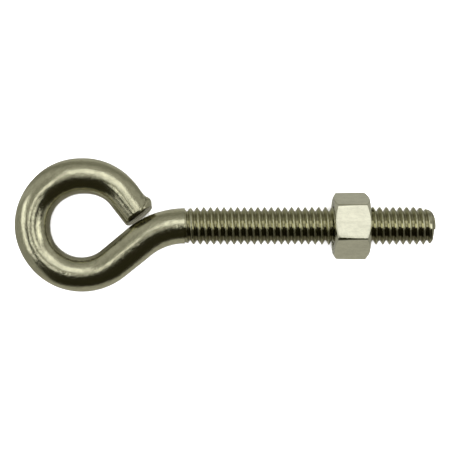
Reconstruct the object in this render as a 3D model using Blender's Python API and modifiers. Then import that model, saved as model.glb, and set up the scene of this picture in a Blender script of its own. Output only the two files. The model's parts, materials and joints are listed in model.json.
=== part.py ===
"""A turned eye bolt with a 5/16-18 UNC thread, and the hex nut on it.

The bolt lies flat: its shank runs along +X, the plane of the eye is level, and z = 0 is the
lowest point, a corner of the nut. x = 0 and y = 0 are the middle of the length and of the eye.
"""

import math

import bmesh
import bpy
from mathutils import Matrix, Vector

# Bent wire
WIRE_RADIUS = 0.00360
RING_RADIUS = 0.01030          # of the wire's centre line round the eye
RING_FLAT = 0.00060            # straight run at the top of the eye, which makes it slightly long
FREE_END_HEADING = math.radians(53.1)   # how steeply the free end points at the shank
FREE_END_LENGTH = 0.00534
FREE_END_SLANT = math.radians(9.5)      # the sheared end leans this far from square, longer below
RISE = math.radians(39.0)      # slope of the run from the eye up to the shank
SHANK_DROP = 0.00033           # the shank's axis passes this far to -Y of the eye's centre
SHANK_BEND_RADIUS = 0.01500
BOLT_REACH = 0.07400           # from the eye's centre to the end of the thread
WIRE_SEGMENTS = 24
ARC_STEP = math.radians(9.0)

# 5/16-18 UNC thread, right-handed
PITCH = 0.0254 / 18
CREST_RADIUS = 0.003925
ROOT_RADIUS = 0.003080
CREST_FLAT = PITCH / 8
FLANK_ANGLE = math.radians(30.0)
THREAD_REACH = 0.02160         # from the eye's centre to where the thread begins
FIRST_CREST_REACH = 0.02270    # from the eye's centre to a crest on the +Y side
SHOULDER_LENGTH = 0.00030      # the plain wire stops short at the first groove
SHOULDER_SCALE = 0.836
FIRST_CREST_RADIUS = 0.00345   # the crest starts low and grows over the lead-in
LEAD_IN = 0.00220
POINT_LENGTH = 0.00180         # chamfered point
POINT_RADIUS = 0.00295
SEGMENTS = 24

# Hex nut
NUT_FLATS = 0.01225
NUT_THICKNESS = 0.00730
NUT_REACH = 0.05625            # from the eye's centre to the nut's middle
NUT_ROLL = math.radians(7.85)  # how far the nut is turned from having a flat level
NUT_FACE_RADIUS = 0.00600      # where the chamfers meet the end faces
BEARING_CHAMFER = math.radians(29.0)
OUTER_CHAMFER = math.radians(37.0)
NUT_BORE_RADIUS = 0.00330
THREAD_ALLOWANCE = 0.00015     # radial gap between the two threads
MOUTH_RADIUS = 0.00420

# The nut's bearing face, a plain turned ring let into the nut
FACE_INNER_RADIUS = 0.00425
FACE_OUTER_RADIUS = 0.00560
FACE_THICKNESS = 0.00050
FACE_GAP = 0.00010

CORNER_RADIUS = NUT_FLATS / 2 / math.cos(math.radians(30.0))
AXIS_Z = CORNER_RADIUS * math.cos(math.radians(30.0) - NUT_ROLL)
EYE_X = -(BOLT_REACH - RING_RADIUS - WIRE_RADIUS) / 2
AXIS_Y = -SHANK_DROP
BOLT_END_X = EYE_X + BOLT_REACH
THREAD_START_X = EYE_X + THREAD_REACH
FIRST_CREST_X = EYE_X + FIRST_CREST_REACH
NUT_X = EYE_X + NUT_REACH
MERGE = 0.000001


def clear_scene():
    """Remove every object, so that the script starts from nothing."""
    for thing in list(bpy.data.objects):
        bpy.data.objects.remove(thing, do_unlink=True)


def new_collection(name):
    """A collection linked to the scene."""
    collection = bpy.data.collections.new(name)
    bpy.context.scene.collection.children.link(collection)
    return collection


def steel(name, color, roughness):
    """A bare metal."""
    material = bpy.data.materials.new(name)
    material.use_nodes = True
    shader = material.node_tree.nodes["Principled BSDF"]
    shader.inputs["Base Color"].default_value = (*color, 1.0)
    shader.inputs["Metallic"].default_value = 1.0
    shader.inputs["Roughness"].default_value = roughness
    return material


def add_object(name, data, collection, material=None):
    """Put mesh or curve data in the scene."""
    thing = bpy.data.objects.new(name, data)
    collection.objects.link(thing)
    if material:
        data.materials.append(material)
    return thing


def mark_as_cutter(thing):
    """Hide a shape that only cuts, limits or extends another."""
    thing.hide_render = True
    thing.display_type = "WIRE"


def evaluated_mesh(thing):
    """The mesh that an object's modifiers or bevel make, welded."""
    graph = bpy.context.evaluated_depsgraph_get()
    mesh = bpy.data.meshes.new_from_object(thing.evaluated_get(graph))
    shape = bmesh.new()
    shape.from_mesh(mesh)
    bmesh.ops.remove_doubles(shape, verts=shape.verts, dist=MERGE)
    shape.to_mesh(mesh)
    shape.free()
    return mesh


def along_shank(x):
    """Turn a shape made round Z so that its Z is +X, its X is +Y, and it starts at x."""
    turned = Matrix(((0, 0, 1, 0), (1, 0, 0, 0), (0, 1, 0, 0), (0, 0, 0, 1)))
    return Matrix.Translation((x, AXIS_Y, AXIS_Z)) @ turned


def shade(thing):
    """Smooth the round faces and keep the real edges."""
    thing.data.shade_smooth()
    thing.data.set_sharp_from_angle(angle=math.radians(35.0))


def boolean(thing, other, operation):
    """Cut, limit or join a shape with another."""
    modifier = thing.modifiers.new(operation.lower() + "_" + other.name, "BOOLEAN")
    modifier.object = other
    modifier.operation = operation
    modifier.solver = "EXACT"


def arc(center, radius, start, end):
    """Points along an arc in the plane of the eye, both ends included."""
    count = max(2, math.ceil(abs(end - start) / ARC_STEP))
    angles = [start + (end - start) * i / count for i in range(count + 1)]
    return [
        (center[0] + radius * math.cos(a), center[1] + radius * math.sin(a)) for a in angles
    ]


def wire_route():
    """The wire's centre line from its free end, round the eye and along the shank."""
    quarter = math.pi / 2
    high = (EYE_X + RING_FLAT, 0.0)
    low = (EYE_X, 0.0)
    free_side = arc(high, RING_RADIUS, quarter - FREE_END_HEADING, quarter)
    tip = (
        free_side[0][0] + FREE_END_LENGTH * math.cos(FREE_END_HEADING),
        free_side[0][1] - FREE_END_LENGTH * math.sin(FREE_END_HEADING),
    )
    ring = arc(low, RING_RADIUS, quarter, 3 * quarter + RISE)
    corner = (RING_RADIUS - SHANK_DROP * math.cos(RISE)) / math.sin(RISE)
    bend_x = EYE_X + corner + SHANK_BEND_RADIUS * math.tan(RISE / 2)
    bend = arc(
        (bend_x, AXIS_Y - SHANK_BEND_RADIUS), SHANK_BEND_RADIUS, quarter + RISE, quarter
    )
    return [tip, *free_side, *ring, *bend]


def slant_free_end(mesh, tip):
    """Lean the wire's free end over, as shears leave it."""
    heading = Vector((math.cos(FREE_END_HEADING), -math.sin(FREE_END_HEADING), 0.0))
    middle = Vector((*tip, AXIS_Z))
    for vert in mesh.vertices:
        across = vert.co - middle
        if abs(across.dot(heading)) < MERGE and across.length < WIRE_RADIUS + MERGE:
            vert.co -= heading * across.z * math.tan(FREE_END_SLANT)


def bent_wire(cutters):
    """The wire as a mesh, stepped down where it meets the first groove of the thread."""
    points = [(x, y, 1.0) for x, y in wire_route()]
    points.append((THREAD_START_X, AXIS_Y, 1.0))
    points.append((THREAD_START_X + SHOULDER_LENGTH, AXIS_Y, SHOULDER_SCALE))
    curve = bpy.data.curves.new("bent_wire", "CURVE")
    curve.dimensions = "3D"
    curve.bevel_depth = WIRE_RADIUS
    curve.bevel_resolution = (WIRE_SEGMENTS - 4) // 2
    curve.use_fill_caps = True
    spline = curve.splines.new("POLY")
    spline.points.add(len(points) - 1)
    for point, (x, y, scale) in zip(spline.points, points):
        point.co = (x, y, AXIS_Z, 1.0)
        point.radius = scale
    source = add_object("bent_wire_route", curve, cutters)
    bpy.context.view_layer.update()
    wire = add_object("bent_wire", evaluated_mesh(source), cutters)
    wire.matrix_world = source.matrix_world
    slant_free_end(wire.data, points[0][:2])
    bpy.data.objects.remove(source, do_unlink=True)
    return wire


def open_outline(name, points, collection):
    """Points in the XZ plane, joined in a row by edges: the outline of a turned shape."""
    mesh = bpy.data.meshes.new(name)
    edges = [(i, i + 1) for i in range(len(points) - 1)]
    mesh.from_pydata([(r, 0.0, z) for r, z in points], edges, [])
    return add_object(name, mesh, collection)


def turned(name, outline, x, collection):
    """A solid of revolution round the shank's axis, from (radius, distance along) points."""
    thing = open_outline(name, outline, collection)
    screw = thing.modifiers.new("turn", "SCREW")
    screw.steps = SEGMENTS
    screw.render_steps = SEGMENTS
    screw.use_merge_vertices = True
    screw.merge_threshold = MERGE
    thing.matrix_world = along_shank(x)
    return thing


def thread_body(name, radial_gap, core_radius, x, turns, collection):
    """A solid core with a right-hand thread, a whole number of turns long."""
    crest = CREST_RADIUS + radial_gap
    widening = 2 * radial_gap * math.tan(FLANK_ANGLE)
    flat = CREST_FLAT + (widening if core_radius > ROOT_RADIUS else 0.0)
    flank = (crest - core_radius) * math.tan(FLANK_ANGLE)
    outline = [
        (crest, PITCH + flat / 2),
        (crest, PITCH - flat / 2),
        (core_radius, PITCH - flat / 2 - flank),
        (core_radius, flat / 2 + flank),
        (crest, flat / 2),
    ]
    thing = open_outline(name + "_outline", outline, collection)
    screw = thing.modifiers.new("thread", "SCREW")
    screw.steps = SEGMENTS
    screw.render_steps = SEGMENTS
    screw.screw_offset = PITCH
    screw.iterations = turns
    bpy.context.view_layer.update()
    body = add_object(name, evaluated_mesh(thing), collection)
    bpy.data.objects.remove(thing, do_unlink=True)
    close_ends(body.data)
    lead_in = (x - FIRST_CREST_X) / PITCH
    body.matrix_world = along_shank(FIRST_CREST_X + math.floor(lead_in) * PITCH)
    return body


def close_ends(mesh):
    """Close both ends of a threaded core with a fan to its axis."""
    shape = bmesh.new()
    shape.from_mesh(mesh)
    edges = [edge for edge in shape.edges if edge.is_boundary]
    ends = bmesh.ops.edgeloop_fill(shape, edges=edges)["faces"]
    middles = bmesh.ops.poke(shape, faces=ends)["verts"]
    for vert in middles:
        vert.co.x = 0.0
        vert.co.y = 0.0
    bmesh.ops.recalc_face_normals(shape, faces=shape.faces)
    shape.to_mesh(mesh)
    shape.free()


def thread_envelope(cutters):
    """What the thread is kept within: low first crests and a chamfered point."""
    length = BOLT_END_X - THREAD_START_X
    outline = [
        (0.0, length),
        (POINT_RADIUS, length),
        (CREST_RADIUS + MERGE, length - POINT_LENGTH),
        (CREST_RADIUS + MERGE, LEAD_IN),
        (FIRST_CREST_RADIUS, 0.0),
        (0.0, 0.0),
    ]
    return turned("thread_envelope", outline, THREAD_START_X, cutters)


def make_eye_bolt(parts, cutters):
    """One piece: the wire bent into an eye, with its other end threaded."""
    turns = math.ceil((BOLT_END_X - THREAD_START_X) / PITCH) + 3
    thread = thread_body(
        "bolt_thread", 0.0, ROOT_RADIUS, THREAD_START_X - PITCH, turns, cutters
    )
    boolean(thread, thread_envelope(cutters), "INTERSECT")
    bpy.context.view_layer.update()
    mesh = evaluated_mesh(thread)
    bolt = add_object("eye_bolt", mesh, parts, steel("bolt_steel", (0.46, 0.45, 0.38), 0.28))
    bolt.matrix_world = thread.matrix_world
    mark_as_cutter(thread)
    boolean(bolt, bent_wire(cutters), "UNION")
    return bolt


def nut_envelope(cutters):
    """What both chamfers leave of the nut."""
    rim = CORNER_RADIUS * 1.05
    outer_depth = (rim - NUT_FACE_RADIUS) * math.tan(OUTER_CHAMFER)
    bearing_depth = (rim - NUT_FACE_RADIUS) * math.tan(BEARING_CHAMFER)
    outline = [
        (0.0, NUT_THICKNESS),
        (NUT_FACE_RADIUS, NUT_THICKNESS),
        (rim, NUT_THICKNESS - outer_depth),
        (rim, bearing_depth),
        (NUT_FACE_RADIUS, 0.0),
        (0.0, 0.0),
    ]
    return turned("nut_envelope", outline, NUT_X - NUT_THICKNESS / 2, cutters)


def nut_tap(cutters):
    """The shape of the threaded hole: the bolt's thread with a running gap."""
    turns = math.ceil(NUT_THICKNESS / PITCH) + 3
    return thread_body(
        "nut_tap", THREAD_ALLOWANCE, NUT_BORE_RADIUS,
        NUT_X - NUT_THICKNESS / 2 - PITCH, turns, cutters,
    )


def nut_mouths(cutters):
    """A countersink at the outer end, and the ring's seat and countersink at the other."""
    over = 0.0002
    seat = FACE_THICKNESS + FACE_GAP
    seat_radius = FACE_OUTER_RADIUS + FACE_GAP
    slope = math.tan(math.radians(30.0))
    depth = (MOUTH_RADIUS - NUT_BORE_RADIUS) * slope
    far = NUT_THICKNESS
    outer = [
        (0.0, far + over),
        (MOUTH_RADIUS + over / slope, far + over),
        (NUT_BORE_RADIUS - MERGE, far - depth),
        (0.0, far - depth),
    ]
    inner = [
        (0.0, seat + depth),
        (NUT_BORE_RADIUS - MERGE, seat + depth),
        (MOUTH_RADIUS, seat),
        (seat_radius, seat),
        (seat_radius, -over),
        (0.0, -over),
    ]
    x = NUT_X - NUT_THICKNESS / 2
    return [turned("outer_mouth", outer, x, cutters), turned("seat", inner, x, cutters)]


def make_hex_nut(parts, cutters):
    """The nut, turned a little from having a flat level."""
    bpy.ops.mesh.primitive_cylinder_add(
        vertices=6, radius=CORNER_RADIUS, depth=NUT_THICKNESS
    )
    nut = bpy.context.active_object
    nut.name = "hex_nut"
    for owner in list(nut.users_collection):
        owner.objects.unlink(nut)
    parts.objects.link(nut)
    nut.data.materials.append(steel("nut_steel", (0.50, 0.49, 0.41), 0.24))
    level_flat = math.radians(30.0) - NUT_ROLL
    nut.matrix_world = along_shank(NUT_X) @ Matrix.Rotation(level_flat, 4, "Z")
    boolean(nut, nut_envelope(cutters), "INTERSECT")
    boolean(nut, nut_tap(cutters), "DIFFERENCE")
    for mouth in nut_mouths(cutters):
        boolean(nut, mouth, "DIFFERENCE")
    return nut


def make_bearing_face(parts):
    """The turned ring of the nut's face that bears on the work."""
    outline = [
        (FACE_OUTER_RADIUS, FACE_THICKNESS),
        (FACE_OUTER_RADIUS, 0.0),
        (FACE_INNER_RADIUS, 0.0),
        (FACE_INNER_RADIUS, FACE_THICKNESS),
        (FACE_OUTER_RADIUS, FACE_THICKNESS),
    ]
    ring = turned("nut_bearing_face", outline, NUT_X - NUT_THICKNESS / 2, parts)
    ring.data.materials.append(steel("nut_face_steel", (0.50, 0.49, 0.41), 0.24))
    return ring


def main():
    """Build the eye bolt and its nut."""
    clear_scene()
    parts = new_collection("eye_bolt_and_nut")
    cutters = new_collection("cutters")
    make_eye_bolt(parts, cutters)
    make_hex_nut(parts, cutters)
    make_bearing_face(parts)
    for thing in cutters.objects:
        mark_as_cutter(thing)
    for thing in parts.objects:
        shade(thing)


main()
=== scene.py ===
import json
import math

import bpy
import numpy as np
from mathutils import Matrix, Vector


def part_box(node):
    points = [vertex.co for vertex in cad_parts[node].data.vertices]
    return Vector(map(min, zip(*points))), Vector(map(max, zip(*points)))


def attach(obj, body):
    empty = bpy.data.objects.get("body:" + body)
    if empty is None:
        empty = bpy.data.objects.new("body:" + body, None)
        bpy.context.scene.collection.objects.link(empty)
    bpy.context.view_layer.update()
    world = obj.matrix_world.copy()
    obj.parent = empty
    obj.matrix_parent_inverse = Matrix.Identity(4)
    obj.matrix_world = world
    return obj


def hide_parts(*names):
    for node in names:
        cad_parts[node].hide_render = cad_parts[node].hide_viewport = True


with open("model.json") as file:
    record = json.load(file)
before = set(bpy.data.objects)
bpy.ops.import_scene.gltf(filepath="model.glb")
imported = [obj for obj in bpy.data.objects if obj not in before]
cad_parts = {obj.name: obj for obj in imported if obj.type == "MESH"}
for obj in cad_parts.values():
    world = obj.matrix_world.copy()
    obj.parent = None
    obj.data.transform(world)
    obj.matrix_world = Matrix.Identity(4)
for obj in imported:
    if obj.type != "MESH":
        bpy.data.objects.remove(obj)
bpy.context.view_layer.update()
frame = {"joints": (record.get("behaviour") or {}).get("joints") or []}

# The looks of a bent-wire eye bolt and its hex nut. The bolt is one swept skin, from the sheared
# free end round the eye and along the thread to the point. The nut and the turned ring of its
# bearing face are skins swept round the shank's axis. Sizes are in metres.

MM = 0.001

# Places, from the frame
turn_joint = next(joint for joint in frame["joints"] if joint["name"] == "nut_turn")
AXIS_Y, AXIS_Z = turn_joint["pos_m"][1:]
BOLT_LOW, BOLT_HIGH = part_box("eye_bolt")
NUT_LOW, NUT_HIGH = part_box("hex_nut")
EYE_OUTER_RADIUS = 13.90 * MM
START_X = BOLT_LOW.x + EYE_OUTER_RADIUS
EYE_X = START_X + 0.08 * MM
EYE_Y = -0.20 * MM

# Bent wire
RING_RADIUS = 10.30 * MM
RING_FLAT = 0.60 * MM
FREE_END_TURN = math.radians(53.1)
FREE_END_LENGTH = 5.34 * MM
RISE = math.radians(39.2)
SHANK_BEND_RADIUS = 15.0 * MM
WIRE_STEP = 0.25 * MM
AROUND = 72                      # points round the wire and the thread

# How thick the wire is in the plane of the eye: (share of the way to the thread, half thickness)
THICKNESS = (
    (0.00, 3.38 * MM), (0.08, 3.46 * MM), (0.21, 3.74 * MM), (0.28, 3.80 * MM),
    (0.34, 3.70 * MM), (0.42, 3.72 * MM), (0.53, 3.57 * MM), (0.70, 3.62 * MM),
    (0.78, 3.70 * MM), (0.85, 3.75 * MM), (0.92, 3.72 * MM), (1.00, 3.72 * MM),
)
WIRE_HALF_HEIGHT = 3.48 * MM

# Thread, right-handed
PITCH = 25.4 / 18 * MM
CREST_RADIUS = 3.95 * MM
ROOT_RADIUS = 3.08 * MM
CREST_FLAT = PITCH / 8
FLANK_SLOPE = math.tan(math.radians(30.0))
EDGE_ROUNDING = 0.10 * MM
THREAD_X = START_X + 21.62 * MM
FIRST_CREST_X = START_X + 22.75 * MM
FIRST_CREST_RADIUS = 3.45 * MM
LEAD_IN = 2.2 * MM
STEPS_PER_TURN = 24
UNDERSIDE_SHADE = 0.9                  # how much painted shade darkens the thread on its -Y side

# Point of the thread
END_X = BOLT_HIGH.x - 0.02 * MM
POINT_RADIUS = 3.24 * MM
POINT_SLOPE = 0.245
POINT_SHIFT = 0.20 * MM          # the point is ground off centre, towards -Y
RIM_RADIUS = 3.07 * MM
RIM_SLOPE = 1.2
FACE_RADIUS = 2.95 * MM
LIP = 0.68 * MM

# Sheared free end
SHEAR_LEAN = math.tan(math.radians(9.5))

# Nut
NUT_FLATS = 12.36 * MM
NUT_ROLL = math.radians(7.85)
NUT_FACE_RADIUS = 6.00 * MM
BEARING_CHAMFER = math.tan(math.radians(29.0))
OUTER_CHAMFER = math.tan(math.radians(37.0))
NUT_BORE_RADIUS = 3.30 * MM
THREAD_ALLOWANCE = 0.13 * MM
MOUTH_RADIUS = 4.20 * MM
MOUTH_SLOPE = math.tan(math.radians(30.0))
FACE_INNER_RADIUS = 4.25 * MM
FACE_OUTER_RADIUS = 5.60 * MM
FACE_DEPTH = 0.50 * MM
HAIR_GAP = 0.012 * MM
NUT_COLUMNS_PER_FLAT = 40
NUT_ALLOWANCE = 0.12 * MM        # the nut is shown this much thicker than the CAD's
NUT_EDGE_ROUNDING = 0.14 * MM
NUT_SIDE_ROWS = 22
FACE_COLUMNS = 192
FACE_ROWS = 28

# Camera and floor
CAMERA_HEIGHT = 271.6 * MM
CAMERA_X = -0.03 * MM
CAMERA_Y = -0.15 * MM
LENS = 104.0
FLOOR_SLOPE = 0.048
FLOOR_TOUCH_X = 23.2 * MM
FLOOR_REACH = 4.0
FLOOR_COLOR = (0.9, 0.9, 0.9, 1.0)
SUN_STRENGTH = 7.5
SUN_ANGLE = math.radians(40.0)

# Steel
SHARP_ANGLE = math.radians(42.0)
SWELL_SHADE = 0.94               # how much darker the steel is over its broad swellings


def smoothstep(low, high, value):
    """0 below low, 1 above high, and a smooth rise between them."""
    t = np.clip((value - low) / (high - low), 0.0, 1.0)
    return t * t * (3.0 - 2.0 * t)


def bump(center, width, value):
    """A smooth bell, 1 high at its centre."""
    return np.exp(-(((value - center) / width) ** 2))


def soft_min(a, b, blend):
    """The smaller of two values, rounded where they meet."""
    h = np.clip(0.5 + 0.5 * (b - a) / blend, 0.0, 1.0)
    return b + (a - b) * h - blend * h * (1.0 - h)


def soft_max(a, b, blend):
    """The larger of two values, rounded where they meet."""
    return -soft_min(-a, -b, blend)


def smooth_table(table, at):
    """A value between the entries of a short table, with no corners."""
    places = np.array([row[0] for row in table])
    values = np.array([row[1] for row in table])
    index = np.clip(np.searchsorted(places, at, side="right") - 1, 0, len(table) - 2)
    t = smoothstep(places[index], places[index + 1], at)
    return values[index] * (1.0 - t) + values[index + 1] * t


# ---------------------------------------------------------------- meshes

def skin(name, rings, start_pole=None, end_pole=None, loop=False):
    """A mesh through rings of points, each ring closed, with poles or joined end to end."""
    count, around = rings.shape[:2]
    points = rings.reshape(-1, 3)
    i, j = np.meshgrid(np.arange(count if loop else count - 1), np.arange(around), indexing="ij")
    after, beside = (i + 1) % count, (j + 1) % around
    corners = (i * around + j, i * around + beside, after * around + beside, after * around + j)
    faces = np.stack(corners, axis=-1).reshape(-1, 4).tolist()
    j = np.arange(around)
    beside = (j + 1) % around
    if start_pole is not None:
        points = np.vstack([points, start_pole])
        pole = np.full(around, len(points) - 1)
        faces += np.stack((beside, j, pole), axis=-1).tolist()
    if end_pole is not None:
        points = np.vstack([points, end_pole])
        pole = np.full(around, len(points) - 1)
        last = (count - 1) * around
        faces += np.stack((last + j, last + beside, pole), axis=-1).tolist()
    mesh = bpy.data.meshes.new(name)
    mesh.from_pydata(points.tolist(), [], faces)
    mesh.shade_smooth()
    thing = bpy.data.objects.new(name, mesh)
    bpy.context.scene.collection.objects.link(thing)
    return thing


def add_attribute(thing, name, values, kind="FLOAT"):
    """Store a number or a vector with each point."""
    attribute = thing.data.attributes.new(name, kind, "POINT")
    field = "vector" if kind == "FLOAT_VECTOR" else "value"
    attribute.data.foreach_set(field, np.asarray(values, np.float32).ravel())


def piece(thing, body, node, material):
    """Make a skin stand for a CAD node, ride on its body and take its material."""
    thing.data.materials.append(material)
    thing.data.set_sharp_from_angle(angle=SHARP_ANGLE)
    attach(thing, body)
    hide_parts(node)


# ---------------------------------------------------------------- bolt

def wire_runs():
    """The wire's runs from its free end: (length, how far it turns)."""
    drop = EYE_Y - AXIS_Y
    ring_end = np.array((RING_RADIUS * math.sin(RISE), -RING_RADIUS * math.cos(RISE)))
    climb = -drop - ring_end[1]
    bend_tangent = SHANK_BEND_RADIUS * math.tan(RISE / 2)
    rise_length = climb / math.sin(RISE) - bend_tangent
    bend_end_x = EYE_X + ring_end[0] + climb / math.tan(RISE) + bend_tangent
    return [
        (FREE_END_LENGTH, 0.0),
        (RING_RADIUS * FREE_END_TURN, FREE_END_TURN),
        (RING_FLAT, 0.0),
        (RING_RADIUS * (math.pi + RISE), math.pi + RISE),
        (rise_length, 0.0),
        (SHANK_BEND_RADIUS * RISE, -RISE),
        (THREAD_X - bend_end_x, 0.0),
    ]


def wire_stations():
    """x, y, heading and distance of stations along the wire's centre line."""
    heading = math.pi - FREE_END_TURN
    x = EYE_X + RING_FLAT + RING_RADIUS * math.sin(FREE_END_TURN)
    y = EYE_Y + RING_RADIUS * math.cos(FREE_END_TURN)
    x -= FREE_END_LENGTH * math.cos(heading)
    y -= FREE_END_LENGTH * math.sin(heading)
    distance = 0.0
    stations = [(x, y, heading, distance)]
    for length, turn in wire_runs():
        count = math.ceil(length / WIRE_STEP)
        step, half_turn = length / count, turn / count / 2
        chord = step * (math.sin(half_turn) / half_turn if turn else 1.0)
        for _ in range(count):
            x += chord * math.cos(heading + half_turn)
            y += chord * math.sin(heading + half_turn)
            heading += 2 * half_turn
            distance += step
            stations.append((x, y, heading, distance))
    return np.array(stations)


def place(stations, inward, up):
    """Points at a distance inward, to the left of the wire's heading, and up from its line."""
    x, y, heading = (stations[:, k][:, None] for k in range(3))
    return np.stack(
        (x - np.sin(heading) * inward, y + np.cos(heading) * inward, AXIS_Z + up), axis=-1
    )


def turn_marks(left):
    """Shallow rings that the thread rolls left on the plain shank just before the thread."""
    marks = ((0.62 * MM, 0.040 * MM), (0.98 * MM, 0.028 * MM), (1.30 * MM, 0.018 * MM))
    return sum(depth * bump(at, 0.07 * MM, left) for at, depth in marks)


def unevenness(along, angle):
    """Slight hollows and swellings left by drawing and bending the wire."""
    k = along / MM
    slow = np.sin(0.55 * k + 1.3) * np.cos(2 * angle + 0.21 * k)
    quick = np.sin(1.7 * k + 0.4) * np.cos(3 * angle - 0.5 * k + 2.0)
    return 0.010 * MM * slow + 0.004 * MM * quick


def wire_skin(angles):
    """Rings of the bent wire from its free end to the thread, and how recessed each point is."""
    stations = wire_stations()
    along = stations[:, 3][:, None]
    left = along[-1] - along
    share = stations[:, 3] / stations[-1, 3]
    half = smooth_table(THICKNESS, share)[:, None]
    height = np.maximum(WIRE_HALF_HEIGHT, half - 0.06 * MM)
    height = height * smoothstep(-2.0 * MM, 0.0, along)
    angle = angles[None, :]
    cut = turn_marks(left) - unevenness(along, angle)
    cos, sin = np.cos(angle), np.sin(angle)
    flare, crease = free_end_shape(along, half * cos, sin)
    inward = (half - cut - crease) * cos - flare
    up = (height - cut - crease) * sin
    slide = shear_offset(inward, up) * smoothstep(1.4 * MM, 0.0, along)
    rings = place(stations, inward, up)
    heading = stations[:, 2][:, None]
    rings[:, :, 0] -= slide * np.cos(heading)
    rings[:, :, 1] -= slide * np.sin(heading)
    straight = np.stack((along + 0 * up, inward, up), axis=-1)
    return stations, rings, straight, np.clip(crease / (0.14 * MM), 0.0, 1.0)


def free_end_shape(along, inward, sin):
    """The burr that the shears pushed out of the free end's outer side, and its creases."""
    outward = -inward
    upper = smoothstep(-0.2, 0.2, sin)
    burr = smoothstep(3.1 * MM, 1.55 * MM, along) * smoothstep(0.0, 1.3 * MM, along)
    flare = 0.55 * MM * burr * smoothstep(2.2 * MM, 3.2 * MM, outward)
    crease_line = 2.07 * MM + (along - 0.67 * MM) * 0.70
    burr_crease = 0.30 * MM * bump(0.0, 0.15 * MM, outward - crease_line)
    burr_crease = burr_crease * smoothstep(2.9 * MM, 2.1 * MM, along) * upper
    lip = 0.20 * MM * bump(2.72 * MM, 0.15 * MM, inward) * upper
    lip = lip * smoothstep(5.6 * MM, 4.0 * MM, along)
    rolled_edge = 0.14 * MM * smoothstep(0.45 * MM, 0.0, along)
    return flare, burr_crease + lip + rolled_edge + 0 * sin


def shear_offset(inward, up):
    """How far the sheared end stands out past square: further below, and ragged near the top."""
    ragged = 0.05 * MM * np.sin(5.1 * inward / MM + 1.0) + 0.04 * MM * np.sin(9.7 * inward / MM)
    return -up * SHEAR_LEAN + ragged * smoothstep(0.5 * MM, 2.6 * MM, up)


def free_end_face(stations, first_ring, angles):
    """Rings of the sheared end face, rim to middle, and the pole at its middle."""
    x, y, heading = stations[0, :3]
    middle = np.array((x, y, AXIS_Z))
    ahead = np.array((math.cos(heading), math.sin(heading), 0.0))
    shares = (0.97, 0.92, 0.84, 0.72, 0.58, 0.44, 0.30, 0.16, 0.06)
    rings = []
    for share in shares:
        ring = middle + (first_ring - middle) * share
        up = ring[:, 2] - AXIS_Z
        under_lip = 0.22 * MM * smoothstep(1.0, 0.90, share) * smoothstep(1.2 * MM, 2.2 * MM, up)
        torn = 0.05 * MM * np.sin(4.3 * up / MM + 2.0 * np.cos(angles) * share) * (1.0 - share)
        ring = ring + ahead * (under_lip + torn)[:, None]
        rings.append(ring)
    return np.array(rings[::-1]), middle


def thread_radius(turns):
    """Radius of the bolt's thread, a number of turns away from a crest."""
    from_crest = np.abs(turns - np.round(turns)) * PITCH
    flank = CREST_RADIUS - (from_crest - CREST_FLAT / 2) / FLANK_SLOPE
    return soft_max(
        soft_min(flank, CREST_RADIUS, EDGE_ROUNDING), ROOT_RADIUS, 2.2 * EDGE_ROUNDING
    )


def thread_skin(angles):
    """Rings of the thread, from its first groove to its point."""
    step = PITCH / STEPS_PER_TURN
    count = math.floor((END_X - LIP - THREAD_X) / step)
    x = THREAD_X + 0.04 * MM + step * np.arange(count)[:, None]
    angle = angles[None, :]
    radius = thread_radius((x - FIRST_CREST_X) / PITCH - angle / (2 * math.pi))
    lead_in = (x - THREAD_X) / LEAD_IN
    low_crest = FIRST_CREST_RADIUS + (CREST_RADIUS - FIRST_CREST_RADIUS) * lead_in
    radius = soft_min(radius, np.minimum(low_crest, 1.05 * CREST_RADIUS), EDGE_ROUNDING)
    shift = POINT_SHIFT * np.cos(angle)
    point = POINT_RADIUS - shift + (END_X - x) * POINT_SLOPE
    rim = RIM_RADIUS - shift + (END_X - LIP - 0.09 * MM - x) * RIM_SLOPE
    for limit in (point, rim):
        radius = soft_min(radius, np.minimum(limit, 1.05 * CREST_RADIUS), EDGE_ROUNDING)
    x = x + 0 * radius
    return turned_points(x, radius, angle), x, radius


def turned_points(x, radius, angle):
    """Points at a radius and an angle round the shank's axis, +Y to +Z."""
    y, z = AXIS_Y + radius * np.cos(angle), AXIS_Z + radius * np.sin(angle)
    return np.stack((x, y, z), axis=-1)


def point_face(last_x, last_radius, angles):
    """Rings of the thread's end, with the lip that the last partial turn leaves on it."""
    rim = (0.985, 0.96, 0.94, 0.92, 0.89)
    middle = (0.83, 0.75, 0.66, 0.56, 0.46, 0.36, 0.26, 0.16, 0.07)
    shares = np.array(rim + middle)[:, None]
    radius = last_radius[None, :] * shares
    side = radius * np.cos(angles)[None, :]
    front = radius * np.sin(angles)[None, :]
    lip = smoothstep(-0.92 * MM, -0.66 * MM, side)
    dome = LIP * (1.0 - (radius / FACE_RADIUS) ** 2.6)
    fold = bump(0.93, 0.045, shares) * smoothstep(-0.7 * MM, 0.3 * MM, side)
    fold = 0.20 * MM * fold * smoothstep(0.3 * MM, 1.0 * MM, front)
    face = 0.035 * MM * (1.0 - shares)
    x = last_x[None, :] + face + lip * (np.maximum(dome, 0.0) - fold)
    return turned_points(x, radius, angles[None, :]), fold * lip / (0.20 * MM)


def inner_side_shade(straight, wire_end):
    """Painted shade where the wire faces into the eye, deepest at its inner edge."""
    along, inward = straight[:, :, 0], straight[:, :, 1]
    eye = smoothstep(0.88 * wire_end, 0.80 * wire_end, along)
    return eye * smoothstep(0.80, 0.96, inward / WIRE_HALF_HEIGHT)


def drawn_places(face, straight, threaded, wire_end):
    """Each point's place on the wire as if it lay straight, which the marks along it follow."""
    sheared = face * 0.0 + straight[0]
    rest = threaded - np.array((THREAD_X - wire_end, AXIS_Y, AXIS_Z))
    drawn = np.concatenate((sheared, straight, rest)).reshape(-1, 3)
    return np.vstack([drawn, straight[0].mean(axis=0), rest[-1].mean(axis=0)])


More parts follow.
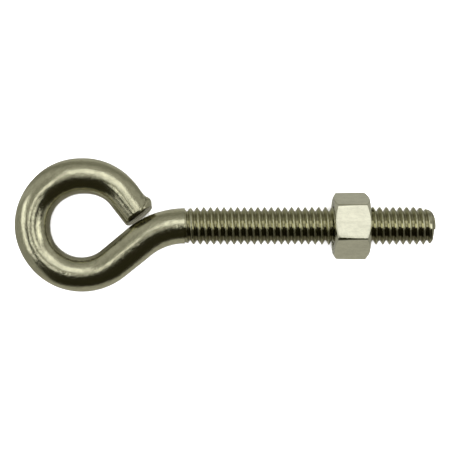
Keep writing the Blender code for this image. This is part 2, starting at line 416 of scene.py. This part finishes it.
def with_poles(parts, start_pole, end_pole):
    """One value for each point of the parts, in order, and then for the two poles."""
    return np.append(np.concatenate(parts).ravel(), (start_pole, end_pole))


def make_bolt(material):
    """The whole bolt as one closed skin."""
    angles = 2 * math.pi * np.arange(AROUND) / AROUND
    stations, wire, straight, wire_recess = wire_skin(angles)
    face, face_middle = free_end_face(stations, wire[0], angles)
    thread, thread_x, thread_r = thread_skin(angles)
    point, fold = point_face(thread_x[-1], thread_r[-1], angles)
    end_middle = turned_points(point[-1, :, 0].mean(), 0.0, 0.0)
    rings = np.concatenate((face, wire, thread, point))
    bolt = skin("bolt_wire_and_thread", rings, face_middle, end_middle)

    wire_end = stations[-1, 3]
    drawn = drawn_places(face, straight, np.concatenate((thread, point)), wire_end)
    rolled = smoothstep(wire_end - 0.1 * MM, wire_end + 0.1 * MM, drawn[:, 0])
    depth = np.clip((CREST_RADIUS - thread_r) / (CREST_RADIUS - ROOT_RADIUS), 0.0, 1.0)
    # How recessed each point is: oxide and painted shade darken the steel by it, nearly fully over
    # the sheared end face.
    recess = (np.full(face.shape[:2], 0.9), wire_recess, depth, fold)
    # Painted shade on the thread's -Y side, deeper towards its roots.
    below = smoothstep(0.10, 0.70, -np.cos(angles))[None, :]
    under = UNDERSIDE_SHADE * below * (0.5 + 0.5 * depth)
    # Painted shade where the wire faces into the eye.
    eye_inner_shade = inner_side_shade(straight, wire_end)
    # The sheared end face is darkened fully; the point not at all.
    inside = (np.ones(face.shape[:2]), eye_inner_shade, under, np.zeros(point.shape[:2]))

    add_attribute(bolt, "drawn", drawn, "FLOAT_VECTOR")
    add_attribute(bolt, "recess", with_poles(recess, 0.9, 0.0))
    add_attribute(bolt, "rolled", rolled)
    add_attribute(bolt, "inside", with_poles(inside, 0.0, 0.0))
    piece(bolt, "bolt", "eye_bolt", material)
    return bolt


# ---------------------------------------------------------------- nut

def hex_radius(angle, x_share):
    """Radius of the hexagon with softened corners, softer towards the bearing face."""
    sharpness = 30.0 + 30.0 * smoothstep(0.10, 0.75, x_share)
    sides = np.arange(6) * math.pi / 3 + math.pi / 2 - NUT_ROLL
    reach = np.maximum(np.cos(angle[..., None] - sides), 0.0)
    total = (reach ** sharpness[..., None]).sum(axis=-1)
    flat = NUT_FLATS / 2 - 0.028 * MM * smoothstep(0.13, 0.0, x_share) ** 0.8
    return flat / total ** (1.0 / sharpness)


def nut_columns():
    """Angles round the nut, closer together near its corners."""
    share = np.arange(NUT_COLUMNS_PER_FLAT) / NUT_COLUMNS_PER_FLAT
    across = -np.cos(math.pi * share)
    within = np.arctan(across * math.tan(math.pi / 6))
    first = math.pi / 2 - NUT_ROLL
    return np.concatenate([first + k * math.pi / 3 + within for k in range(6)])


def rounded(profile, size, bends=3):
    """Round the corners of a profile, a list of (x, radius, how much of size) columns."""
    out = []
    count = len(profile)
    for i, (x, r, amount) in enumerate(profile):
        here = np.stack((x, r))
        if not amount:
            out.append(here)
            continue
        ends = []
        for other in (profile[i - 1], profile[(i + 1) % count]):
            way = np.stack((other[0], other[1])) - here
            length = np.hypot(way[0], way[1]) + 1e-12
            ends.append(here + way / length * np.minimum(size * amount, 0.4 * length))
        for t in np.linspace(0.0, 1.0, bends + 2):
            out.append((1 - t) ** 2 * ends[0] + 2 * t * (1 - t) * here + t * t * ends[1])
    return np.array(out)


def nut_outside(angle, thickness, seat_depth):
    """The nut's outline from the seat of its turned ring, over the flats, to the outer mouth."""
    ones = np.ones_like(angle)
    seat_radius = FACE_OUTER_RADIUS + HAIR_GAP
    near = (hex_radius(angle, 0.05 * ones) - NUT_FACE_RADIUS) * BEARING_CHAMFER
    far = thickness - (hex_radius(angle, 0.95 * ones) - NUT_FACE_RADIUS) * OUTER_CHAMFER
    profile = [
        (seat_depth * ones, MOUTH_RADIUS * ones, 0.0),
        (seat_depth * ones, seat_radius * ones, 0.0),
        (0 * ones, seat_radius * ones, 0.1),
        (0 * ones, NUT_FACE_RADIUS * ones, 0.5),
    ]
    for share in np.linspace(0.0, 1.0, NUT_SIDE_ROWS):
        x = near + (far - near) * share
        edge = 1.0 if share in (0.0, 1.0) else 0.0
        profile.append((x, hex_radius(angle, x / thickness), edge))
    profile += [
        (thickness * ones, NUT_FACE_RADIUS * ones, 0.4),
        (thickness * ones, MOUTH_RADIUS * ones, 0.3),
    ]
    return rounded(profile, NUT_EDGE_ROUNDING)


def nut_inside(angle, thickness, seat_depth):
    """The nut's thread, from its outer mouth back to the seat of the turned ring."""
    x = np.arange(thickness - 0.05 * MM, seat_depth + 0.05 * MM, -PITCH / 16)[:, None]
    turns = (NUT_LOW.x + x - FIRST_CREST_X) / PITCH - angle[None, :] / (2 * math.pi)
    bore = np.maximum(thread_radius(turns) + THREAD_ALLOWANCE, NUT_BORE_RADIUS)
    outer_mouth = MOUTH_RADIUS - (thickness - x) / MOUTH_SLOPE
    inner_mouth = MOUTH_RADIUS - (x - seat_depth) / MOUTH_SLOPE
    bore = np.maximum(bore, np.maximum(outer_mouth, inner_mouth))
    return np.stack((x + 0 * bore, bore), axis=1)


def make_nut(material):
    """The hex nut, chamfered at both ends and threaded through."""
    angle = nut_columns()
    thickness = NUT_HIGH.x - NUT_LOW.x + NUT_ALLOWANCE
    seat_depth = FACE_DEPTH + HAIR_GAP
    outer = nut_outside(angle, thickness, seat_depth)
    inner = nut_inside(angle, thickness, seat_depth)
    rings = np.concatenate((outer, inner))
    points = turned_points(NUT_LOW.x + rings[:, 0], rings[:, 1], angle[None, :])
    nut = skin("hex_nut_body", points[::-1], loop=True)
    recess = np.zeros(points.shape[:2])
    # The bore counts as fully recessed, so oxide and painted shade darken it.
    recess[len(outer):] = 1.0
    add_attribute(nut, "recess", recess[::-1])
    piece(nut, "nut", "hex_nut", material)
    return nut


def make_face_ring(material):
    """The turned ring of the nut's bearing face, with its tool marks."""
    angle = 2 * math.pi * np.arange(FACE_COLUMNS) / FACE_COLUMNS
    ones = np.ones_like(angle)
    radii = np.linspace(FACE_INNER_RADIUS, FACE_OUTER_RADIUS, FACE_ROWS)
    marks = 0.003 * MM * (1 + np.sin(radii / (0.06 * MM)))
    profile = [(mark * ones, radius * ones) for mark, radius in zip(marks, radii)]
    profile.append((FACE_DEPTH * ones, FACE_OUTER_RADIUS * ones))
    profile.append((FACE_DEPTH * ones, FACE_INNER_RADIUS * ones))
    rings = np.array(profile)
    points = turned_points(NUT_LOW.x + rings[:, 0], rings[:, 1], angle[None, :])
    ring = skin("nut_turned_face", points[::-1], loop=True)
    add_attribute(ring, "recess", np.zeros(points.shape[:2]))
    piece(ring, "nut_travel", "nut_bearing_face", material)
    return ring


# ---------------------------------------------------------------- materials

class Nodes:
    """A short way to write a node tree."""

    def __init__(self, tree):
        self.tree = tree

    def add(self, kind, settings=None, **inputs):
        """Add a node, set its properties, and set or link its inputs by name, or i0, i1, i2."""
        node = self.tree.nodes.new(kind)
        for key, value in (settings or {}).items():
            setattr(node, key, value)
        for key, value in inputs.items():
            by_number = key[0] == "i" and key[1:].isdigit()
            socket = node.inputs[int(key[1:]) if by_number else key.replace("_", " ")]
            if isinstance(value, bpy.types.NodeSocket):
                self.tree.links.new(value, socket)
            else:
                socket.default_value = value
        return node

    def math(self, operation, a, b=0.0, c=0.0):
        """A Math node's result."""
        return self.add("ShaderNodeMath", {"operation": operation}, i0=a, i1=b, i2=c).outputs[0]

    def ramp(self, value, low, high, to_low=0.0, to_high=1.0):
        """A smooth Map Range."""
        node = self.add(
            "ShaderNodeMapRange", {"interpolation_type": "SMOOTHSTEP"},
            Value=value, From_Min=low, From_Max=high, To_Min=to_low, To_Max=to_high,
        )
        return node.outputs["Result"]

    def noise(self, vector, scale, detail=2.0, roughness=0.5):
        """Noise with its own stretch along each axis."""
        mapping = self.add("ShaderNodeMapping", Vector=vector, Scale=scale)
        node = self.add(
            "ShaderNodeTexNoise", Vector=mapping.outputs["Vector"],
            Scale=1.0, Detail=detail, Roughness=roughness,
        )
        return node.outputs["Fac"]

    def attribute(self, name, output="Fac"):
        """What is stored with each point under a name."""
        return self.add("ShaderNodeAttribute", {"attribute_name": name}).outputs[output]

    def mix(self, factor, a, b):
        """A blend of two colours."""
        node = self.tree.nodes.new("ShaderNodeMix")
        node.data_type = "RGBA"
        for index, value in ((0, factor), (6, a), (7, b)):
            if isinstance(value, bpy.types.NodeSocket):
                self.tree.links.new(value, node.inputs[index])
            else:
                node.inputs[index].default_value = value
        return node.outputs[2]


def new_material(name):
    """A node material with its shader and a helper for its tree."""
    material = bpy.data.materials.new(name)
    material.use_nodes = True
    shader = material.node_tree.nodes["Principled BSDF"]
    shader.inputs["Metallic"].default_value = 1.0
    return material, shader, Nodes(material.node_tree)


def steel_textures(nodes, vector, streaks):
    """The noises that the steel's wear is made of."""
    pits = nodes.noise(vector, (3600.0, 4200.0, 4200.0), 2.0)
    return {
        "streak": nodes.noise(vector, streaks, 4.0, 0.6),
        "mottle": nodes.noise(vector, (900.0, 1500.0, 1500.0), 3.0, 0.55),
        "swell": nodes.noise(vector, (260.0, 420.0, 420.0), 1.0, 0.5),
        "grain": nodes.noise(vector, (2600.0, 4400.0, 4400.0), 3.0, 0.6),
        "pits": nodes.ramp(pits, 0.30, 0.42),
    }


def steel_tone(nodes, wear, oxide_and_shade, color, dark, mottling):
    """The steel's colour: darker in random spots, darker in its recesses from oxide and painted
    shade, and darkened by painted shade on the eye's inner side and the thread's underside, and fully
    over the sheared end face.
    """
    dark = (*dark, 1.0)
    swollen = (*[channel * SWELL_SHADE for channel in color], 1.0)
    spots = nodes.ramp(nodes.math("MULTIPLY_ADD", wear["grain"], 0.5, wear["mottle"]), 0.62, 0.90)
    tone = nodes.mix(nodes.ramp(wear["swell"], 0.3, 0.7), (*color, 1.0), swollen)
    tone = nodes.mix(nodes.math("MULTIPLY", spots, mottling), tone, dark)
    # Oxide and painted shade darken the recesses.
    tone = nodes.mix(nodes.math("MULTIPLY", oxide_and_shade, 0.40), tone, dark)
    # Painted shade on the eye's inner side and the thread's underside; the sheared end face is
    # darkened fully.
    return nodes.mix(nodes.math("MULTIPLY", nodes.attribute("inside"), 0.75), tone, dark)


def steel_roughness(nodes, wear, oxide_and_shade, rolled, roughness):
    """Rougher in patches and where it is oxidised, smoother where the thread was rolled."""
    uneven = nodes.math("MULTIPLY", nodes.math("SUBTRACT", wear["mottle"], 0.5), 0.16)
    rough = nodes.math("MULTIPLY_ADD", wear["streak"], 0.12, roughness - 0.06)
    rough = nodes.math("ADD", rough, uneven)
    rough = nodes.math("ADD", rough, nodes.math("MULTIPLY", oxide_and_shade, 0.05))
    return nodes.math("MULTIPLY", rough, nodes.math("MULTIPLY_ADD", rolled, -0.55, 1.0))


def steel_normal(nodes, wear, rolled, relief):
    """Bumps from each texture by its depth in mm, fainter where the thread was rolled."""
    height = nodes.math("MULTIPLY", wear["streak"], relief["streak"])
    for texture in ("mottle", "swell", "grain", "pits"):
        height = nodes.math("MULTIPLY_ADD", wear[texture], relief[texture], height)
    height = nodes.math("MULTIPLY", height, nodes.math("MULTIPLY_ADD", rolled, -0.75, 1.0))
    bumps = nodes.add("ShaderNodeBump", Height=height, Distance=MM, Strength=1.0)
    return bumps.outputs["Normal"]


def worn_steel(name, coordinates, color, dark, roughness, mottling, streaks, relief):
    """Bare steel: fine streaks one way, soft mottling, pits, oxide with painted shade in its
    recesses, and painted shade on the eye's inner side and the thread's underside.
    """
    material, shader, nodes = new_material(name)
    if coordinates == "drawn":
        vector = nodes.attribute("drawn", "Vector")
    else:
        vector = nodes.add("ShaderNodeTexCoord").outputs["Object"]
    wear = steel_textures(nodes, vector, streaks)
    rolled = nodes.attribute("rolled")
    stained = nodes.math("MULTIPLY", wear["mottle"], 0.25)
    # Oxide and painted shade, by how recessed each point is, with random stains.
    oxide_and_shade = nodes.ramp(nodes.math("ADD", nodes.attribute("recess"), stained), 0.55, 1.15)
    results = {
        "Base Color": steel_tone(nodes, wear, oxide_and_shade, color, dark, mottling),
        "Roughness": steel_roughness(nodes, wear, oxide_and_shade, rolled, roughness),
        "Normal": steel_normal(nodes, wear, rolled, relief),
    }
    for socket, result in results.items():
        nodes.tree.links.new(result, shader.inputs[socket])
    return material


def bolt_steel():
    """Satin drawn wire, a little olive, with marks along its length."""
    return worn_steel(
        "bolt_steel", "drawn",
        color=(0.65, 0.64, 0.47), dark=(0.20, 0.185, 0.115),
        roughness=0.155, mottling=0.15,
        streaks=(160.0, 5200.0, 5200.0),
        relief={
            "streak": 0.0080, "mottle": 0.036, "swell": 0.022,
            "grain": 0.016, "pits": 0.004,
        },
    )


def nut_steel():
    """Smooth hexagon bar, brushed along its length."""
    return worn_steel(
        "nut_steel", "object",
        color=(0.77, 0.765, 0.62), dark=(0.16, 0.15, 0.10),
        roughness=0.17, mottling=0.06,
        streaks=(110.0, 4600.0, 4600.0),
        relief={
            "streak": 0.0030, "mottle": 0.004, "swell": 0.012,
            "grain": 0.0016, "pits": 0.0004,
        },
    )


def face_steel():
    """The nut's turned face."""
    return worn_steel(
        "nut_face_steel", "object",
        color=(0.62, 0.615, 0.49), dark=(0.16, 0.15, 0.10),
        roughness=0.26, mottling=0.06,
        streaks=(110.0, 2600.0, 2600.0),
        relief={
            "streak": 0.0010, "mottle": 0.002, "swell": 0.004,
            "grain": 0.0010, "pits": 0.0004,
        },
    )


# ---------------------------------------------------------------- studio

SKY_COLOR = (0.32, 0.315, 0.275, 1.0)

# Each panel: its centre and half size in degrees from straight above, towards +X and +Y, how far
# it is turned, how soft its edge is, and its colour. Later ones lie over earlier ones.
STUDIO_PANELS = (
    ((0.0, 152.0), (200.0, 50.0), 0.0, 12.0, (0.43, 0.425, 0.38)),
    ((0.0, 88.0), (200.0, 16.0), 0.0, 12.0, (0.25, 0.245, 0.205)),
    ((0.0, 50.0), (200.0, 13.0), 0.0, 10.0, (0.42, 0.415, 0.37)),
    ((0.0, -132.0), (200.0, 40.0), 0.0, 10.0, (0.41, 0.40, 0.35)),
    ((5.0, -44.0), (58.0, 43.0), 0.0, 6.0, (0.024, 0.022, 0.011)),
    ((8.0, 28.0), (22.0, 12.5), 0.0, 4.0, (1.38, 1.37, 1.32)),
    ((7.0, 18.0), (8.0, 8.0), 0.0, 3.0, (1.17, 1.16, 1.13)),
    ((-55.0, 2.0), (10.0, 30.0), 25.0, 5.0, (1.45, 1.44, 1.37)),
    ((-15.0, 0.0), (4.5, 11.0), 0.0, 2.0, (1.70, 1.69, 1.60)),
    ((9.0, 0.0), (6.0, 7.0), 0.0, 2.0, (1.60, 1.59, 1.50)),
    ((45.0, 4.0), (12.0, 15.0), 0.0, 4.0, (1.50, 1.49, 1.41)),
)


def studio_world():
    """Soft boxes and dark cards round the object, by angle from straight above, and a pale sky."""
    world = bpy.data.worlds.new("studio")
    bpy.context.scene.world = world
    world.use_nodes = True
    nodes = Nodes(world.node_tree)
    direction = nodes.add("ShaderNodeTexCoord").outputs["Generated"]
    split = nodes.add("ShaderNodeSeparateXYZ", Vector=direction)
    x, y, z = split.outputs
    level = nodes.math("SQRT", nodes.math("MULTIPLY_ADD", x, x, nodes.math("MULTIPLY", y, y)))
    level = nodes.math("MAXIMUM", level, 0.000001)
    away = nodes.math("DEGREES", nodes.math("ARCTAN2", level, z))
    share = nodes.math("DIVIDE", away, level)
    flat = nodes.add(
        "ShaderNodeCombineXYZ", X=nodes.math("MULTIPLY", x, share), Y=nodes.math("MULTIPLY", y, share)
    ).outputs["Vector"]
    light = SKY_COLOR
    for center, half, turn, soft, color in STUDIO_PANELS:
        local = nodes.add(
            "ShaderNodeMapping", {"vector_type": "TEXTURE"}, Vector=flat,
            Location=(*center, 0.0), Rotation=(0.0, 0.0, math.radians(turn)), Scale=(*half, 1.0),
        )
        axes = nodes.add("ShaderNodeSeparateXYZ", Vector=local.outputs["Vector"])
        masks = [
            nodes.ramp(nodes.math("ABSOLUTE", axis), 1 + soft / reach, 1 - soft / reach)
            for axis, reach in zip(axes.outputs, half)
        ]
        light = nodes.mix(nodes.math("MULTIPLY", *masks), light, (*color, 1.0))
    is_camera = nodes.add("ShaderNodeLightPath").outputs["Is Camera Ray"]
    seen = nodes.mix(is_camera, light, (1.0, 1.0, 1.0, 1.0))
    nodes.tree.links.new(seen, nodes.tree.nodes["Background"].inputs["Color"])


def floor():
    """A pale sheet that the eye and the nut both rest on."""
    mesh = bpy.data.meshes.new("floor")
    corners = [(-1, -1), (1, -1), (1, 1), (-1, 1)]
    corners = [(FLOOR_REACH * x, FLOOR_REACH * y) for x, y in corners]
    points = [(x, y, FLOOR_SLOPE * (FLOOR_TOUCH_X - x)) for x, y in corners]
    mesh.from_pydata(points, [], [(0, 1, 2, 3)])
    thing = bpy.data.objects.new("floor", mesh)
    bpy.context.scene.collection.objects.link(thing)
    material = bpy.data.materials.new("floor")
    material.use_nodes = True
    shader = material.node_tree.nodes["Principled BSDF"]
    shader.inputs["Base Color"].default_value = FLOOR_COLOR
    shader.inputs["Roughness"].default_value = 1.0
    shader.inputs["Specular IOR Level"].default_value = 0.0
    mesh.materials.append(material)
    thing.visible_glossy = False


def floor_light():
    """A wide soft light from above that brightens the floor."""
    lamp = bpy.data.lights.new("floor_light", "SUN")
    lamp.energy = SUN_STRENGTH
    lamp.angle = SUN_ANGLE
    thing = bpy.data.objects.new("floor_light", lamp)
    thing.visible_glossy = False
    bpy.context.scene.collection.objects.link(thing)


def camera():
    """Straight above, with the shank level in the picture."""
    data = bpy.data.cameras.new("camera")
    data.lens = LENS
    data.clip_start = 0.01
    thing = bpy.data.objects.new("camera", data)
    thing.location = (CAMERA_X, CAMERA_Y, AXIS_Z + CAMERA_HEIGHT)
    bpy.context.scene.collection.objects.link(thing)
    bpy.context.scene.camera = thing


camera()
make_bolt(bolt_steel())
make_nut(nut_steel())
make_face_ring(face_steel())
studio_world()
floor()
floor_light()
bpy.context.scene.view_settings.view_transform = "Standard"
